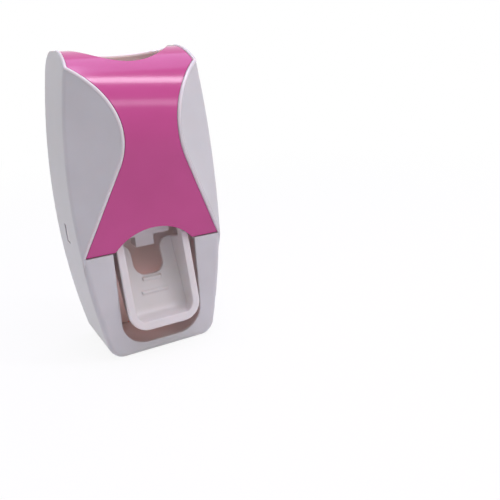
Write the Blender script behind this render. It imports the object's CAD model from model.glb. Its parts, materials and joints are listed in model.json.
# %% [markdown]
# # Hand-pumped toothpaste dispenser
#
# The real object is a white moulded case with a glossy pink hourglass cover. A push cup hangs below the
# cover, and a small silicone pump sits behind it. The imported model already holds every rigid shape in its
# place, in metres, so this lesson loads it first and then only adds what solids lack: finishes, soft pieces,
# screw recesses and rounded edges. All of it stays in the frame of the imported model.

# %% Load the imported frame
import json
import math

import bmesh
import bpy
from mathutils import Matrix, Vector

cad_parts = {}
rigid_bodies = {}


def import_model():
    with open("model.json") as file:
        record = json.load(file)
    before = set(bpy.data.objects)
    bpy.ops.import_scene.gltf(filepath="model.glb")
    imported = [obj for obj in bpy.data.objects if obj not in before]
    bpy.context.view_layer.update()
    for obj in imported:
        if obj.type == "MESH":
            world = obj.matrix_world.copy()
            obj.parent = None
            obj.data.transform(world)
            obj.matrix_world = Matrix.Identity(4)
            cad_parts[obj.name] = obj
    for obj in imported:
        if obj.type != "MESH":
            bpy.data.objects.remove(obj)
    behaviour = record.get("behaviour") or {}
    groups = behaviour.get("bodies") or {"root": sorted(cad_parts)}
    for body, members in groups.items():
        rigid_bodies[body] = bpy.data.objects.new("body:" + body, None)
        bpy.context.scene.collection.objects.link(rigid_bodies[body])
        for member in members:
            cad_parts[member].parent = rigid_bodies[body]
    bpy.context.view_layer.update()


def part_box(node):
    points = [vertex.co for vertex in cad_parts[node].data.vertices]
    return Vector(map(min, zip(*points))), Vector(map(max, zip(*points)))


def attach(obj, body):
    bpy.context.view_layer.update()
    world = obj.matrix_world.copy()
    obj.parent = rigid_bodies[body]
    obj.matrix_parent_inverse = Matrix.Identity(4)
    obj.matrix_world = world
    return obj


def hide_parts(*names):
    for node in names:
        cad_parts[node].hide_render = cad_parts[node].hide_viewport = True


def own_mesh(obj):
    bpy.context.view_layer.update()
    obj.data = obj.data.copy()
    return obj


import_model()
MM = 0.001
scene = bpy.context.scene

# %% [markdown]
# ## Camera
#
# The photograph looks slightly down on the dispenser from its left front. The camera could be turned by eye,
# but a fit to the outline gives its place and its three axes directly, so they are written here as a matrix:
# right, up and backwards are the columns. A lens of 43.2 mm on a 36 mm sensor gives the same field of view.

# %% Place the camera
camera_right = Vector((0.86711, -0.49565, -0.04953))
camera_down = Vector((-0.20133, -0.25779, -0.94499))
camera_forward = Vector((0.45561, 0.82938, -0.32333))
camera_place = Vector((-101.7, -304.1, 158.1)) * MM
camera_data = bpy.data.cameras.new("photo_camera")
camera_data.sensor_fit = "HORIZONTAL"
camera_data.sensor_width = 36.0
camera_data.lens = 43.2
camera_data.clip_start = 0.01
camera = bpy.data.objects.new("photo_camera", camera_data)
scene.collection.objects.link(camera)
axes = Matrix((camera_right, -camera_down, -camera_forward)).transposed().to_4x4()
camera.matrix_world = Matrix.Translation(camera_place) @ axes
scene.camera = camera
print("camera at", [round(c, 4) for c in camera.location])

# %% [markdown]
# ## Colours and nodes
#
# Colours are easiest to read as sRGB hex values, but shader sockets take linear numbers, so one function
# turns the first into the second. A second function adds a node, sets its fields and sockets and links it.
# With these two, each finish below stays a short list of what the real surface is made of.

# %% Colour and node helpers


def linear(hex_colour):
    """An sRGB hex value as the linear colour that a socket takes."""
    shares = [int(hex_colour[start:start + 2], 16) / 255 for start in (1, 3, 5)]
    return [s / 12.92 if s <= 0.04045 else ((s + 0.055) / 1.055) ** 2.4 for s in shares] + [1.0]


def add(tree, kind, values=None, links=None, **fields):
    """One node with its own fields, its socket values and what runs into its sockets."""
    node = tree.nodes.new(kind)
    for name, field in fields.items():
        setattr(node, name, field)
    for name, value in (values or {}).items():
        node.inputs[name].default_value = value
    for name, source in (links or {}).items():
        tree.links.new(source, node.inputs[name])
    return node


def new_finish(name):
    """An empty material, its tree, and the object coordinates in metres that its patterns read."""
    material = bpy.data.materials.new(name)
    material.use_nodes = True
    material.node_tree.nodes.clear()
    place = add(material.node_tree, "ShaderNodeTexCoord")
    return material, material.node_tree, place.outputs["Object"]


def per_metre(size_mm):
    """The scale of a noise whose blotches have a size in millimetres."""
    return 1.0 / (size_mm * MM)


print("white as a linear number:", [round(c, 3) for c in linear("#DCD9DE")[:3]])

# %% [markdown]
# ## Moulded ABS of the case
#
# The case is white ABS from a finely textured mould. Up close the skin has a faint grain, and over a few
# centimetres the tone and gloss drift a little where the melt cooled faster. The grain of such a mould is
# about 0.1 mm, too fine for the picture, so it is drawn at 0.5 mm. A Bevel node rounds the shading along
# the moulded edges by about a millimetre, which gives each edge the soft light line that real mouldings
# have. The cup and the back plate are a warmer white in the photograph, and the mouldings of the pump are
# taken to be plainer and duller. One recipe makes all three finishes, and further below those of two
# rounded edges.

# %% White ABS of the case, warm white of cup and back, plain white of the pump


def moulded_white(name, tones, gloss, edge_mm):
    """White plastic between two close tones, with drifting gloss, mould grain and soft edges."""
    material, tree, place = new_finish(name)
    drift = add(tree, "ShaderNodeTexNoise", {"Scale": per_metre(28.0), "Detail": 3.0}, {"Vector": place})
    tone = add(tree, "ShaderNodeValToRGB", links={"Fac": drift.outputs["Fac"]})
    for stop, at, colour in zip(tone.color_ramp.elements, (0.3, 0.7), tones):
        stop.position = at
        stop.color = linear(colour)
    rough = add(tree, "ShaderNodeMapRange", {"To Min": gloss[0], "To Max": gloss[1]},
                {"Value": drift.outputs["Fac"]})
    edge = add(tree, "ShaderNodeBevel", {"Radius": edge_mm * MM}, samples=6)
    skin = add(tree, "ShaderNodeTexNoise", {"Scale": per_metre(0.5), "Detail": 2.0}, {"Vector": place})
    bump = add(tree, "ShaderNodeBump", {"Strength": 0.12, "Distance": 0.03 * MM},
               {"Height": skin.outputs["Fac"], "Normal": edge.outputs["Normal"]})
    shader = add(tree, "ShaderNodeBsdfPrincipled",
                 {"IOR": 1.53, "Subsurface Weight": 0.3, "Subsurface Radius": (1.0, 0.6, 0.5),
                  "Subsurface Scale": 2.0 * MM},
                 {"Base Color": tone.outputs["Color"], "Roughness": rough.outputs["Result"],
                  "Normal": bump.outputs["Normal"]})
    add(tree, "ShaderNodeOutputMaterial", links={"Surface": shader.outputs["BSDF"]})
    return material


case_abs = moulded_white("white_abs_mould_textured", ("#C5C5C3", "#CBCBC9"), (0.30, 0.40), 0.9)
warm_abs = moulded_white("warm_white_abs_moulded", ("#D8D6D1", "#DEDBD7"), (0.28, 0.38), 1.3)
inner_abs = moulded_white("natural_abs_moulded_plain", ("#D2CFCC", "#DAD7D3"), (0.42, 0.52), 0.2)
print("finishes:", case_abs.name, warm_abs.name, inner_abs.name)

# %% [markdown]
# ## Glossy ABS of the cover
#
# The cover is through-coloured pink ABS from a polished mould, so lamps show in it as soft stripes with clear
# ends. A mirror would look like glass: real mouldings have a very shallow waviness, a few millimetres long,
# which softens the stripes, and tiny sink marks let the colour drift by a shade. Both are noise here.

# %% Pink ABS from a polished mould
cover_abs, tree, place = new_finish("pink_abs_polished_mould")
drift = add(tree, "ShaderNodeTexNoise", {"Scale": per_metre(35.0), "Detail": 2.0}, {"Vector": place})
tone = add(tree, "ShaderNodeValToRGB", links={"Fac": drift.outputs["Fac"]})
for stop, at, colour in zip(tone.color_ramp.elements, (0.3, 0.7), ("#B7397D", "#BE3F84")):
    stop.position = at
    stop.color = linear(colour)
rough = add(tree, "ShaderNodeMapRange", {"To Min": 0.11, "To Max": 0.16}, {"Value": drift.outputs["Fac"]})
edge = add(tree, "ShaderNodeBevel", {"Radius": 0.4 * MM}, samples=6)
waves = add(tree, "ShaderNodeTexNoise", {"Scale": per_metre(6.0), "Detail": 1.0}, {"Vector": place})
bump = add(tree, "ShaderNodeBump", {"Strength": 0.06, "Distance": 0.1 * MM},
           {"Height": waves.outputs["Fac"], "Normal": edge.outputs["Normal"]})
shader = add(tree, "ShaderNodeBsdfPrincipled", {"IOR": 1.53},
             {"Base Color": tone.outputs["Color"], "Roughness": rough.outputs["Result"],
              "Normal": bump.outputs["Normal"]})
add(tree, "ShaderNodeOutputMaterial", links={"Surface": shader.outputs["BSDF"]})
print("finish:", cover_abs.name)

# %% [markdown]
# ## Silicone, foam and zinc-plated steel
#
# Three smaller finishes belong to the pump and the back. Moulded silicone is milky and dull, and light goes a
# little way into it, so it takes some subsurface scattering. The wall pads are closed-cell foam: a Voronoi
# pattern gives its cells, about 0.4 mm across and drawn at 0.8 mm so that they show. Screws and pins are
# plated with zinc, a bluish metal whose plating has faint streaks.

# %% Silicone of bulb, valves and gasket
silicone, tree, place = new_finish("milky_silicone_moulded")
clouds = add(tree, "ShaderNodeTexNoise", {"Scale": per_metre(5.0), "Detail": 2.0}, {"Vector": place})
tone = add(tree, "ShaderNodeValToRGB", links={"Fac": clouds.outputs["Fac"]})
for stop, at, colour in zip(tone.color_ramp.elements, (0.3, 0.7), ("#C4C5C2", "#CFD0CC")):
    stop.position = at
    stop.color = linear(colour)
dust = add(tree, "ShaderNodeTexNoise", {"Scale": per_metre(0.6)}, {"Vector": place})
bump = add(tree, "ShaderNodeBump", {"Strength": 0.1, "Distance": 0.03 * MM}, {"Height": dust.outputs["Fac"]})
shader = add(tree, "ShaderNodeBsdfPrincipled",
             {"IOR": 1.41, "Roughness": 0.5, "Subsurface Weight": 0.25, "Subsurface Scale": 1.5 * MM},
             {"Base Color": tone.outputs["Color"], "Normal": bump.outputs["Normal"]})
add(tree, "ShaderNodeOutputMaterial", links={"Surface": shader.outputs["BSDF"]})
print("finish:", silicone.name)

# %% Closed-cell foam of the wall pads
foam, tree, place = new_finish("grey_pe_foam_closed_cell")
cells = add(tree, "ShaderNodeTexVoronoi", {"Scale": per_metre(0.8)}, {"Vector": place})
tone = add(tree, "ShaderNodeValToRGB", links={"Fac": cells.outputs["Distance"]})
for stop, at, colour in zip(tone.color_ramp.elements, (0.05, 0.6), ("#7E8083", "#97999B")):
    stop.position = at
    stop.color = linear(colour)
bump = add(tree, "ShaderNodeBump", {"Strength": 0.5, "Distance": 0.15 * MM},
           {"Height": cells.outputs["Distance"]})
shader = add(tree, "ShaderNodeBsdfPrincipled", {"IOR": 1.45, "Roughness": 0.85},
             {"Base Color": tone.outputs["Color"], "Normal": bump.outputs["Normal"]})
add(tree, "ShaderNodeOutputMaterial", links={"Surface": shader.outputs["BSDF"]})
print("finish:", foam.name)

# %% Zinc-plated steel of screws and pins
zinc, tree, place = new_finish("zinc_plated_steel_bright")
streaks = add(tree, "ShaderNodeTexNoise", {"Scale": per_metre(1.2), "Detail": 4.0}, {"Vector": place})
tone = add(tree, "ShaderNodeValToRGB", links={"Fac": streaks.outputs["Fac"]})
for stop, at, colour in zip(tone.color_ramp.elements, (0.35, 0.65), ("#A9ADB3", "#C3C6CA")):
    stop.position = at
    stop.color = linear(colour)
rough = add(tree, "ShaderNodeMapRange", {"To Min": 0.22, "To Max": 0.4}, {"Value": streaks.outputs["Fac"]})
shader = add(tree, "ShaderNodeBsdfPrincipled", {"Metallic": 1.0},
             {"Base Color": tone.outputs["Color"], "Roughness": rough.outputs["Result"]})
add(tree, "ShaderNodeOutputMaterial", links={"Surface": shader.outputs["BSDF"]})
print("finish:", zinc.name)

# %% [markdown]
# ## Dress the solids
#
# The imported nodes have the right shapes, so they keep their meshes and only get a finish. The table below
# says which real material each piece is moulded or turned from.

# %% Give each solid its finish
FINISH_OF = {
    "front_housing": case_abs, "front_cover": cover_abs, "rear_cover": warm_abs, "push_cup": warm_abs,
    "pump_bracket": inner_abs, "pump_case": inner_abs, "outlet_nozzle": inner_abs, "bulb_clamps": inner_abs,
    "valve_seat": inner_abs, "tube_socket": inner_abs, "socket_cap": inner_abs, "outlet_valve": silicone,
    "inlet_valve": silicone, "socket_gasket": silicone, "cup_pivot_pins": zinc,
}
for node, finish in FINISH_OF.items():
    piece = bpy.data.objects[node]
    piece.data.materials.clear()
    piece.data.materials.append(finish)
print("dressed", len(FINISH_OF), "solids")

# %% [markdown]
# ## Screws
#
# Twelve cross-recess screws hold the bracket, the clamps and the tube socket. A screw is a turned profile
# with a thread and a stamped cross. The thread is drawn as rings, because at this size a helix looks the
# same. Modelling twelve by hand would repeat the same work, so one screw of each size is made in
# millimetres around the origin, and a Geometry Nodes tree sets copies of it on points. Each point carries
# the way its head looks and how far the cross is turned. The tree realises the copies, so they export as
# plain mesh.

# %% One cross-recess screw, in millimetres, head up


def spun(profile, sides):
    """A turned shape from (radius, height) pairs that run from axis to axis or once round a section."""
    mesh = bmesh.new()
    rings = []
    for radius, height in profile:
        count = 1 if radius < 1e-6 else sides
        turns = [2 * math.pi * k / sides for k in range(count)]
        rings.append([mesh.verts.new((radius * math.cos(t), radius * math.sin(t), height)) for t in turns])
    for low, high in zip(rings, rings[1:]):
        for k in range(sides):
            corners = [low[k % len(low)], low[(k + 1) % len(low)],
                       high[(k + 1) % len(high)], high[k % len(high)]]
            mesh.faces.new(list(dict.fromkeys(corners)))
    bmesh.ops.recalc_face_normals(mesh, faces=mesh.faces)
    return mesh


def as_object(mesh, name):
    """A bmesh as an object of the scene."""
    data = bpy.data.meshes.new(name)
    mesh.to_mesh(data)
    mesh.free()
    made = bpy.data.objects.new(name, data)
    scene.collection.objects.link(made)
    return made


def screw_shape(name, radius, head, tall, long):
    """Pan head with a stamped cross, threaded shank and a cone point."""
    pitch, core, rim = radius * 0.55, radius * 0.78, tall * 0.35
    cone, plain = 0.9, 0.4
    profile = [(0, -long), (radius * 0.35, -long + cone / 2)]
    z = -long + cone
    while z < -plain:
        profile += [(core, z), (radius, z + pitch * 0.35), (core, z + pitch * 0.7)]
        z += pitch
    profile += [(radius * 0.8, 0), (head, 0), (head, rim)]
    for degrees in (20, 40, 60, 75):
        turn = math.radians(degrees)
        profile.append((head * math.cos(turn), rim + (tall - rim) * math.sin(turn)))
    profile.append((0, tall))
    body = as_object(spun(profile, 28), name)
    # The cross has two bars that narrow towards its bottom.
    cross = bmesh.new()
    bar_long, bar_wide, narrowing = head * 1.15, head * 0.26, 0.45
    for wide, deep in ((bar_long, bar_wide), (bar_wide, bar_long)):
        for corner in bmesh.ops.create_cube(cross, size=1.0)["verts"]:
            low = corner.co.z < 0
            corner.co.x *= wide * (narrowing if low and wide > deep else 1.0)
            corner.co.y *= deep * (narrowing if low and deep > wide else 1.0)
            corner.co.z = tall * (0.3 if low else 1.4)
    tool = as_object(cross, name + "_cross")
    stamp = body.modifiers.new("stamp", "BOOLEAN")
    stamp.operation = "DIFFERENCE"
    stamp.solver = "EXACT"
    stamp.use_self = True
    stamp.object = tool
    shaped = bpy.data.meshes.new_from_object(body.evaluated_get(bpy.context.evaluated_depsgraph_get()))
    bpy.data.objects.remove(body)
    bpy.data.objects.remove(tool)
    shaped.name = name
    shaped.transform(Matrix.Scale(MM, 4))
    pattern = bpy.data.objects.new(name, shaped)
    scene.collection.objects.link(pattern)
    return pattern


print("screw maker ready")

# %% Geometry Nodes tree: copies of a screw on points


def screw_tree():
    """Copies of one screw on points, aimed and turned by the points' own values."""
    tree = bpy.data.node_groups.new("screws_on_points", "GeometryNodeTree")
    for name, kind, way in (("Points", "NodeSocketGeometry", "INPUT"), ("Screw", "NodeSocketObject", "INPUT"),
                            ("Size", "NodeSocketFloat", "INPUT"), ("Finish", "NodeSocketMaterial", "INPUT"),
                            ("Screws", "NodeSocketGeometry", "OUTPUT")):
        tree.interface.new_socket(name=name, in_out=way, socket_type=kind)
    given = add(tree, "NodeGroupInput").outputs
    dots = add(tree, "GeometryNodeMeshToPoints", links={"Mesh": given["Points"]})
    look = add(tree, "GeometryNodeInputNamedAttribute", {"Name": "look"}, data_type="FLOAT_VECTOR")
    turn = add(tree, "GeometryNodeInputNamedAttribute", {"Name": "turn"}, data_type="FLOAT")
    aim = add(tree, "FunctionNodeAlignRotationToVector", links={"Vector": look.outputs["Attribute"]},
              axis="Z")
    spin = add(tree, "FunctionNodeAxisAngleToRotation", {"Axis": (0, 0, 1)},
               {"Angle": turn.outputs["Attribute"]})
    whole = add(tree, "FunctionNodeRotateRotation", links={"Rotation": aim.outputs["Rotation"],
                                                           "Rotate By": spin.outputs["Rotation"]},
                rotation_space="LOCAL")
    shape = add(tree, "GeometryNodeObjectInfo", links={"Object": given["Screw"]})
    copies = add(tree, "GeometryNodeInstanceOnPoints",
                 links={"Points": dots.outputs["Points"], "Instance": shape.outputs["Geometry"],
                        "Rotation": whole.outputs["Rotation"], "Scale": given["Size"]})
    real = add(tree, "GeometryNodeRealizeInstances", links={"Geometry": copies.outputs["Instances"]})
    done = add(tree, "GeometryNodeSetMaterial", links={"Geometry": real.outputs["Geometry"],
                                                       "Material": given["Finish"]})
    add(tree, "NodeGroupOutput", links={"Screws": done.outputs["Geometry"]})
    return tree


SCREW_TREE = screw_tree()


def set_inputs(modifier, values):
    """Set named inputs of a tree through their identifiers."""
    for item in modifier.node_group.interface.items_tree:
        if item.item_type == "SOCKET" and item.in_out == "INPUT" and item.name in values:
            modifier[item.identifier] = values[item.name]


def made_plain(holder, name):
    """What a modifier makes, as a plain mesh object at the origin."""
    mesh = bpy.data.meshes.new_from_object(holder.evaluated_get(bpy.context.evaluated_depsgraph_get()))
    old = holder.data
    bpy.data.objects.remove(holder)
    bpy.data.batch_remove([old])
    mesh.name = name
    plain = bpy.data.objects.new(name, mesh)
    scene.collection.objects.link(plain)
    return plain


print("tree:", SCREW_TREE.name)

# %% Set the screws where the solids have them


def screw_set(name, node, shape, places):
    """Screws at (point, way the head looks, turn of the cross), in place of a node."""
    data = bpy.data.meshes.new(name + "_points")
    data.from_pydata([[c * MM for c in point] for point, _, _ in places], [], [])
    ways = data.attributes.new("look", "FLOAT_VECTOR", "POINT")
    ways.data.foreach_set("vector", [c for _, way, _ in places for c in way])
    turns = data.attributes.new("turn", "FLOAT", "POINT")
    turns.data.foreach_set("value", [math.radians(angle) for _, _, angle in places])
    holder = bpy.data.objects.new(name + "_points", data)
    scene.collection.objects.link(holder)
    copier = holder.modifiers.new("copies", "NODES")
    copier.node_group = SCREW_TREE
    set_inputs(copier, {"Screw": shape, "Size": 1.0, "Finish": zinc})
    screws = made_plain(holder, name)
    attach(screws, "case")
    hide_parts(node)
    return screws


big_screw = screw_shape("bracket_screw_shape", radius=1.3, head=2.6, tall=1.8, long=8.0)
small_screw = screw_shape("socket_screw_shape", radius=1.0, head=2.0, tall=1.4, long=4.6)
short_screw = screw_shape("clamp_screw_shape", radius=1.0, head=2.0, tall=1.4, long=3.6)
FRONT, UP, DOWN = (0, -1, 0), (0, 0, 1), (0, 0, -1)
# Where the undersides of the heads sit on the bracket, on the tube socket and on the clamps, in millimetres.
BRACKET_X, BRACKET_Y, BRACKET_LOW, BRACKET_HIGH = 19.5, 15.9, 65.0, 79.0
SOCKET_X, SOCKET_FRONT, SOCKET_REAR, SOCKET_Z = 11.0, -6.6, 14.6, 86.5
CLAMP_X, CLAMP_Y, CLAMP_LOW, CLAMP_HIGH = 10.0, 8.2, 68.4, 77.9
bracket_set = screw_set("bracket_screw_set", "bracket_screws", big_screw, [
    ((BRACKET_X, BRACKET_Y, BRACKET_LOW), FRONT, 12), ((BRACKET_X, BRACKET_Y, BRACKET_HIGH), FRONT, 50),
    ((-BRACKET_X, BRACKET_Y, BRACKET_LOW), FRONT, 71), ((-BRACKET_X, BRACKET_Y, BRACKET_HIGH), FRONT, 33)])
socket_set = screw_set("socket_screw_set", "socket_screws", small_screw, [
    ((SOCKET_X, SOCKET_FRONT, SOCKET_Z), UP, 20), ((SOCKET_X, SOCKET_REAR, SOCKET_Z), UP, 64),
    ((-SOCKET_X, SOCKET_FRONT, SOCKET_Z), UP, 5), ((-SOCKET_X, SOCKET_REAR, SOCKET_Z), UP, 40)])
clamp_set = screw_set("clamp_screw_set", "clamp_screws", short_screw, [
    ((CLAMP_X, CLAMP_Y, CLAMP_LOW), UP, 15), ((CLAMP_X, CLAMP_Y, CLAMP_HIGH), DOWN, 58),
    ((-CLAMP_X, CLAMP_Y, CLAMP_LOW), UP, 80), ((-CLAMP_X, CLAMP_Y, CLAMP_HIGH), DOWN, 27)])
for pattern in (big_screw, small_screw, short_screw):
    bpy.data.objects.remove(pattern)

# %% [markdown]
# ## Rounded lips of case and back plate
#
# Where the case meets the cover, its edge ends in a narrow rounded lip that catches the light as a bright
# line, and the hollow top rim of the back plate has the same kind of lip. Such lips follow rules. The first
# is the line where the slanting wing plane cuts the curved front, and near the top it turns to run along
# the side wall. The second is a shallow arc. So their paths are worked out from the same circles and plane
# as the case, in millimetres, and one Geometry Nodes tree sweeps a small circle along each path. The
# photograph shows both edges brighter than the walls, so their finishes are a little lighter and smoother.

# %% Path of the lip beside the cover
# Side view of the case as (y, z): a front that leans by LEAN, the arc of the belly up to CROWN, the arc of
# the crown, and a level top. Seen from the front, the side wall is an arc about SIDE_CENTRE as (x, z).
LEAN, CROWN = math.radians(14.0), math.radians(51.5)
FRONT_LOW = (-15.2, 60.0)
BELLY_CENTRE, BELLY_RADIUS = (17.997, 117.0), 46.0
CROWN_CENTRE, CROWN_RADIUS = (9.406, 127.8), 32.2
SIDE_CENTRE, SIDE_RADIUS = (-325.2, 86.0), 365.0
TOP_REAR = 11.5
# Half width of the cover where the wing plane cuts the front: a start value and its change along y and z.
WING_START, WING_Y, WING_Z = 63.907, 1.32081, -0.11214
# The case keeps a strip beside the cover. The lip leaves a gap to the cover, its axis is sunk by a share of
# its radius, and it thins out over a short way at both ends.
STRIP, LIP_RADIUS, LIP_GAP, SUNK, TAPER = 1.9, 1.1, 0.15, 0.64, 8.0


def front_line(steps):
    """The case in side view from the foot of the cover to the rear of the top: point and inward way."""
    lean_way = (math.cos(LEAN), math.sin(LEAN))
    lean_top = [c - BELLY_RADIUS * w for c, w in zip(BELLY_CENTRE, lean_way)]
    for k in range(steps):
        share = k / steps
        yield [a + (b - a) * share for a, b in zip(FRONT_LOW, lean_top)], lean_way
    for centre, radius, start, end in ((BELLY_CENTRE, BELLY_RADIUS, -LEAN, CROWN),
                                       (CROWN_CENTRE, CROWN_RADIUS, CROWN, math.pi / 2)):
        for k in range(steps):
            turn = start + (end - start) * k / steps
            inward = (math.cos(turn), -math.sin(turn))
            yield [c - radius * w for c, w in zip(centre, inward)], inward
    for share in (0, 1 / 3, 2 / 3, 1):
        y = CROWN_CENTRE[0] + (TOP_REAR - CROWN_CENTRE[0]) * share
        yield [y, CROWN_CENTRE[1] + CROWN_RADIUS], (0.0, -1.0)


def cover_lip(side):
    """Points on the lip's axis with its radius there: it fits between the cover's edge and the side wall."""
    points = []
    for (y, z), (in_y, in_z) in front_line(steps=40):
        wall_x = SIDE_CENTRE[0] + math.sqrt(SIDE_RADIUS ** 2 - (z - SIDE_CENTRE[1]) ** 2)
        edge_x = min(WING_START + WING_Y * y + WING_Z * z, wall_x - STRIP)
        radius = min(LIP_RADIUS, (wall_x - edge_x - LIP_GAP) / 2)
        radius *= min(1.0, 0.5 + (z - FRONT_LOW[1]) / TAPER, 0.5 + (TOP_REAR - y) / TAPER)
        sunk = SUNK * radius
        points.append((side * (edge_x + LIP_GAP + radius), y + in_y * sunk, z + in_z * sunk, radius))
    return points


cover_paths = [cover_lip(side) for side in (-1, 1)]
for end, spot in (("foot", cover_paths[1][0]), ("rear", cover_paths[1][-1])):
    print("cover lip,", end, [round(c, 1) for c in spot])

# %% Path of the lip on the back plate's rim
# Seen from the front, the rim's edge is a hollow arc, lowest in the middle. Seen from the side, it lies on a
# round hood about HOOD_CENTRE as (y, z).
RIM_RADIUS, RIM_LOW, RIM_HALF = 173.0, 156.2, 29.0
HOOD_CENTRE, HOOD_RADIUS = (17.5, 150.0), 7.6


def rim_lip(radius, sunk, steps):
    """Points along the inner edge of the hollow rim, sunk below it, with the lip's radius."""
    points = []
    for k in range(steps + 1):
        x = RIM_HALF * (2 * k / steps - 1)
        z = RIM_LOW + RIM_RADIUS - math.sqrt(RIM_RADIUS ** 2 - x * x)
        rise = z - HOOD_CENTRE[1]
        y = HOOD_CENTRE[0] + math.sqrt(max(HOOD_RADIUS ** 2 - rise ** 2, 0.0))
        points.append((x, y + sunk, z - sunk, radius * min(1.0, 0.4 + (RIM_HALF - abs(x)) / TAPER)))
    return points


rim_path = rim_lip(radius=0.9, sunk=0.5, steps=80)
print("rim lip", round(rim_path[0][0], 1), "to", round(rim_path[-1][0], 1), "mm")

# %% Sweep both lips with Geometry Nodes


def lip_tree():
    """A circle swept along a path, as thick as the path's own radius says."""
    tree = bpy.data.node_groups.new("lip_along_path", "GeometryNodeTree")
    for name, kind, way in (("Path", "NodeSocketGeometry", "INPUT"), ("Sides", "NodeSocketInt", "INPUT"),
                            ("Finish", "NodeSocketMaterial", "INPUT"),
                            ("Lip", "NodeSocketGeometry", "OUTPUT")):
        tree.interface.new_socket(name=name, in_out=way, socket_type=kind)
    given = add(tree, "NodeGroupInput").outputs
    ring = add(tree, "GeometryNodeCurvePrimitiveCircle", {"Radius": 1.0}, {"Resolution": given["Sides"]},
               mode="RADIUS")
    thick = add(tree, "GeometryNodeInputRadius")
    tube = add(tree, "GeometryNodeCurveToMesh", {"Fill Caps": True},
               {"Curve": given["Path"], "Profile Curve": ring.outputs["Curve"],
                "Scale": thick.outputs["Radius"]})
    soft = add(tree, "GeometryNodeSetShadeSmooth", links={"Geometry": tube.outputs["Mesh"]})
    real = add(tree, "GeometryNodeRealizeInstances", links={"Geometry": soft.outputs["Geometry"]})
    done = add(tree, "GeometryNodeSetMaterial", links={"Geometry": real.outputs["Geometry"],
                                                       "Material": given["Finish"]})
    add(tree, "NodeGroupOutput", links={"Lip": done.outputs["Geometry"]})
    return tree


LIP_TREE = lip_tree()


def swept(name, paths, finish):
    """A round lip along paths of (x, y, z, radius) in millimetres, as a plain mesh of the case."""
    lines = bpy.data.curves.new(name + "_lines", "CURVE")
    lines.dimensions = "3D"
    for points in paths:
        spline = lines.splines.new("POLY")
        spline.points.add(len(points) - 1)
        spline.points.foreach_set("co", [c for spot in points for c in (*(v * MM for v in spot[:3]), 1.0)])
        spline.points.foreach_set("radius", [spot[3] * MM for spot in points])
    holder = bpy.data.objects.new(name + "_lines", lines)
    scene.collection.objects.link(holder)
    sweep = holder.modifiers.new("sweep", "NODES")
    sweep.node_group = LIP_TREE
    set_inputs(sweep, {"Sides": 16, "Finish": finish})
    lip = made_plain(holder, name)
    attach(lip, "case")
    print(name, len(lip.data.polygons), "faces")
    return lip


edge_abs = moulded_white("white_abs_moulded_smooth", ("#CFCBC9", "#D5D1CF"), (0.16, 0.24), 0.2)
rim_abs = moulded_white("warm_white_abs_moulded_smooth", ("#F0EEEA", "#F5F3EF"), (0.2, 0.28), 0.2)
swept("cover_edge_lip", cover_paths, edge_abs)
swept("rear_rim_lip", [rim_path], rim_abs)

# %% [markdown]
# ## Pump bulb
#
# The bulb is a silicone tube that the cup squeezes and that springs back. Its solid is a plain turned
# shape, so it is replaced by a softer one: the swelling runs in one curve between two flanges, and the tube
# is hollow. A turned profile gives that directly. When the cup is pushed in, the bulb flattens towards its
# back.

# %% Turn the bulb and let it flatten
bulb_low, bulb_high = (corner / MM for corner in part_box("pump_bulb"))
bulb_axis = ((bulb_low.x + bulb_high.x) / 2, (bulb_low.y + bulb_high.y) / 2)
foot, top = bulb_low.z, bulb_high.z
neck, swell, flange, wall = 4.9, 5.6, 6.4, 1.1
thick, soft = 1.6, 0.3
low_flange = [(flange - soft, foot), (flange, foot + soft), (flange, foot + thick - soft),
              (flange - soft, foot + thick), (neck, foot + thick)]
high_flange = [(radius, foot + top - z) for radius, z in reversed(low_flange)]
straight, steps, fullness = 3.0, 20, 0.7
belly = []
for step in range(steps + 1):
    share = step / steps
    rise = math.sin(math.pi * share) ** fullness if 0 < step < steps else 0.0
    belly.append((neck + (swell - neck) * rise, foot + straight + share * (top - foot - 2 * straight)))
bore = [(radius - wall, z) for radius, z in reversed(belly)]
section = low_flange + belly + high_flange + [(neck - wall, top)] + bore + [(neck - wall, foot)]
bulb_mesh = spun(section + section[:1], 48)
bmesh.ops.remove_doubles(bulb_mesh, verts=bulb_mesh.verts, dist=1e-5)
bmesh.ops.recalc_face_normals(bulb_mesh, faces=bulb_mesh.faces)
bulb = as_object(bulb_mesh, "soft_bulb")
bulb.data.transform(Matrix.Translation((bulb_axis[0] * MM, bulb_axis[1] * MM, 0)) @ Matrix.Scale(MM, 4))
for face in bulb.data.polygons:
    face.use_smooth = True
bulb.data.materials.append(silicone)
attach(bulb, "case")
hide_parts("pump_bulb")
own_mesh(bulb)
print("bulb", round(bulb_high.z - bulb_low.z, 1), "mm long,", len(bulb.data.polygons), "faces")

# %% [markdown]
# ## Wall pads
#
# Two strips of foam tape hold the back to the tiles. Die-cut foam has slightly rounded corners, and its cut
# edges bulge a little because the knife squeezed them. Each strip is a stack of rounded outlines with a soft
# rim. It stands half a millimetre proud of the back plate, as the solids have it.

# %% Build the foam strips
pad_low, pad_high = (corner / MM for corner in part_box("wall_pads"))
PAD_WIDE, PAD_CORNER = 20.0, 1.6


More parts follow.
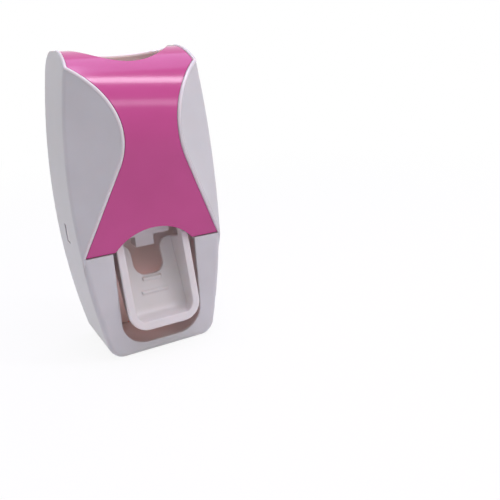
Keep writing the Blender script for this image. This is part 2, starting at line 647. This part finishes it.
def foam_strip(mesh, x0, x1):
    """A slab with rounded corners in plan and a soft outer rim."""
    y0, y1, z0, z1 = pad_low.y, pad_high.y, pad_low.z, pad_high.z
    # Each ring is drawn in from the outline by some way at some depth, from the glued face to the wall.
    section = ((0.15, y0), (0.0, y0 + 0.3), (0.0, y1 - 0.35), (0.12, y1 - 0.12), (0.4, y1), (3.0, y1 - 0.04))
    rings = []
    for inset, y in section:
        radius = max(PAD_CORNER - inset, 0.3)
        ring = []
        for centre_x, centre_z, start in ((x1, z1, 0), (x0, z1, 90), (x0, z0, 180), (x1, z0, 270)):
            cx = centre_x + (-1 if centre_x == x1 else 1) * (inset + radius)
            cz = centre_z + (-1 if centre_z == z1 else 1) * (inset + radius)
            for step in range(7):
                turn = math.radians(start + 15 * step)
                ring.append(mesh.verts.new((cx + radius * math.cos(turn), y, cz + radius * math.sin(turn))))
        rings.append(ring)
    for near, far in zip(rings, rings[1:]):
        for k in range(len(near)):
            mesh.faces.new((near[k], near[(k + 1) % len(near)], far[(k + 1) % len(far)], far[k]))
    mesh.faces.new(rings[0])
    mesh.faces.new(list(reversed(rings[-1])))


pads_mesh = bmesh.new()
foam_strip(pads_mesh, pad_low.x, pad_low.x + PAD_WIDE)
foam_strip(pads_mesh, pad_high.x - PAD_WIDE, pad_high.x)
bmesh.ops.recalc_face_normals(pads_mesh, faces=pads_mesh.faces)
pads = as_object(pads_mesh, "foam_wall_pads")
pads.data.transform(Matrix.Scale(MM, 4))
for face in pads.data.polygons:
    face.use_smooth = len(face.vertices) == 4
pads.data.materials.append(foam)
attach(pads, "case")
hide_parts("wall_pads")
print("pads", [round(c, 1) for c in pad_low], "to", [round(c, 1) for c in pad_high])

# %% [markdown]
# ## Floor, world and lamps
#
# The photograph has a white studio ground. The floor and the world are white to the camera and to
# reflections, by Light Path, and light the object at a plain grey level. The floor keeps a share of plain
# diffuse shading, so the object still has its soft shadow. Two strip lamps above the front make the two
# stripes in the cover: their directions come from mirroring the view in the cover where the photograph
# shows the stripes, and both are turned until the stripes lie as they do there. Two broad boxes light the
# top and a weaker one the right side. The inside of the case is a warm brown in the photograph, not black,
# probably because thin white ABS lets some light through. Opaque shading can't do that, so two very small
# warm lamps inside stand for it.

# %% World and floor
world = bpy.data.worlds.new("white_studio")
scene.world = world
world.use_nodes = True
tree = world.node_tree
tree.nodes.clear()


def seen_directly(tree):
    """One for camera, glossy and transmission rays, nought for the rest."""
    path = add(tree, "ShaderNodeLightPath").outputs
    first = add(tree, "ShaderNodeMath", operation="MAXIMUM")
    tree.links.new(path["Is Camera Ray"], first.inputs[0])
    tree.links.new(path["Is Glossy Ray"], first.inputs[1])
    second = add(tree, "ShaderNodeMath", operation="MAXIMUM")
    tree.links.new(first.outputs[0], second.inputs[0])
    tree.links.new(path["Is Transmission Ray"], second.inputs[1])
    return second.outputs[0]


glow = add(tree, "ShaderNodeBackground", {"Color": linear("#F8F8F8"), "Strength": 0.36})
white = add(tree, "ShaderNodeBackground", {"Color": (1, 1, 1, 1), "Strength": 1.0})
mixed = add(tree, "ShaderNodeMixShader", links={"Fac": seen_directly(tree)})
tree.links.new(glow.outputs[0], mixed.inputs[1])
tree.links.new(white.outputs[0], mixed.inputs[2])
add(tree, "ShaderNodeOutputWorld", links={"Surface": mixed.outputs[0]})

floor_mesh = bmesh.new()
bmesh.ops.create_circle(floor_mesh, cap_ends=True, segments=96, radius=3.0)
floor = as_object(floor_mesh, "studio_floor")
ground, tree, place = new_finish("white_paper_sweep")
matt = add(tree, "ShaderNodeBsdfDiffuse", {"Color": linear("#F4F3F6")})
shine = add(tree, "ShaderNodeEmission", {"Color": (1, 1, 1, 1), "Strength": 1.0})
away = add(tree, "ShaderNodeVectorMath", links={"Vector": place}, operation="LENGTH")
fade = add(tree, "ShaderNodeMapRange", {"From Min": 0.1, "From Max": 0.7, "To Min": 0.9, "To Max": 1.0},
           {"Value": away.outputs["Value"]}, interpolation_type="SMOOTHSTEP")
share = add(tree, "ShaderNodeMath", operation="MULTIPLY")
tree.links.new(seen_directly(tree), share.inputs[0])
tree.links.new(fade.outputs["Result"], share.inputs[1])
mixed = add(tree, "ShaderNodeMixShader", links={"Fac": share.outputs[0]})
tree.links.new(matt.outputs[0], mixed.inputs[1])
tree.links.new(shine.outputs[0], mixed.inputs[2])
add(tree, "ShaderNodeOutputMaterial", links={"Surface": mixed.outputs[0]})
floor.data.materials.append(ground)
print("floor and world are white to the eye, grey to the light")

# %% Lamps


def box_lamp(name, way, wide, tall, radiance, tint, far=0.9, turn=0.0):
    """A rectangular lamp seen from the cover in a direction and aimed at it, long side level or turned."""
    target = Vector((0.0, -0.021, 0.139))
    lamp = bpy.data.lights.new(name, "AREA")
    lamp.shape = "RECTANGLE"
    lamp.size, lamp.size_y = wide, tall
    lamp.color = linear(tint)[:3]
    lamp.energy = radiance * math.pi * wide * tall
    holder = bpy.data.objects.new(name, lamp)
    scene.collection.objects.link(holder)
    way = Vector(way).normalized()
    up = way.cross(Vector((1, 0, 0))).normalized()
    up = Matrix.Rotation(math.radians(turn), 3, way) @ up
    side = up.cross(way).normalized()
    aim = Matrix((side, up, way)).transposed().to_4x4()
    holder.matrix_world = Matrix.Translation(target + way * far) @ aim


box_lamp("upper_strip", (0.3425, -0.27, 0.90), wide=1.3, tall=0.09, radiance=10.5, tint="#F8F2FF", turn=-40)
box_lamp("front_strip", (0.338, -0.715, 0.612), wide=1.0, tall=0.085, radiance=3.2, tint="#F8F2FF", turn=-40)
box_lamp("top_box", (0.3, 0.25, 0.92), wide=0.9, tall=0.5, radiance=1.6, tint="#D8CCFF")
box_lamp("over_box", (-0.05, -0.12, 0.985), wide=0.5, tall=0.6, radiance=4.5, tint="#EADDFF")
box_lamp("right_box", (0.85, -0.5, 0.35), wide=0.6, tall=0.6, radiance=0.78, tint="#FFF6FA", far=1.0)


def wall_glow(name, spot, watts, tint):
    """A small warm lamp inside the case."""
    lamp = bpy.data.lights.new(name, "POINT")
    lamp.energy = watts
    lamp.color = linear(tint)[:3]
    lamp.shadow_soft_size = 0.008
    holder = bpy.data.objects.new(name, lamp)
    scene.collection.objects.link(holder)
    holder.location = spot
    holder.visible_camera = False
    holder.visible_glossy = False


wall_glow("glow_behind_cup", (0, 0.010, 0.023), watts=0.0043, tint="#FFBCB8")
wall_glow("glow_tube_room", (0.004, 0.002, 0.137), watts=0.0110, tint="#FFE2E2")
scene.view_settings.view_transform = "Standard"
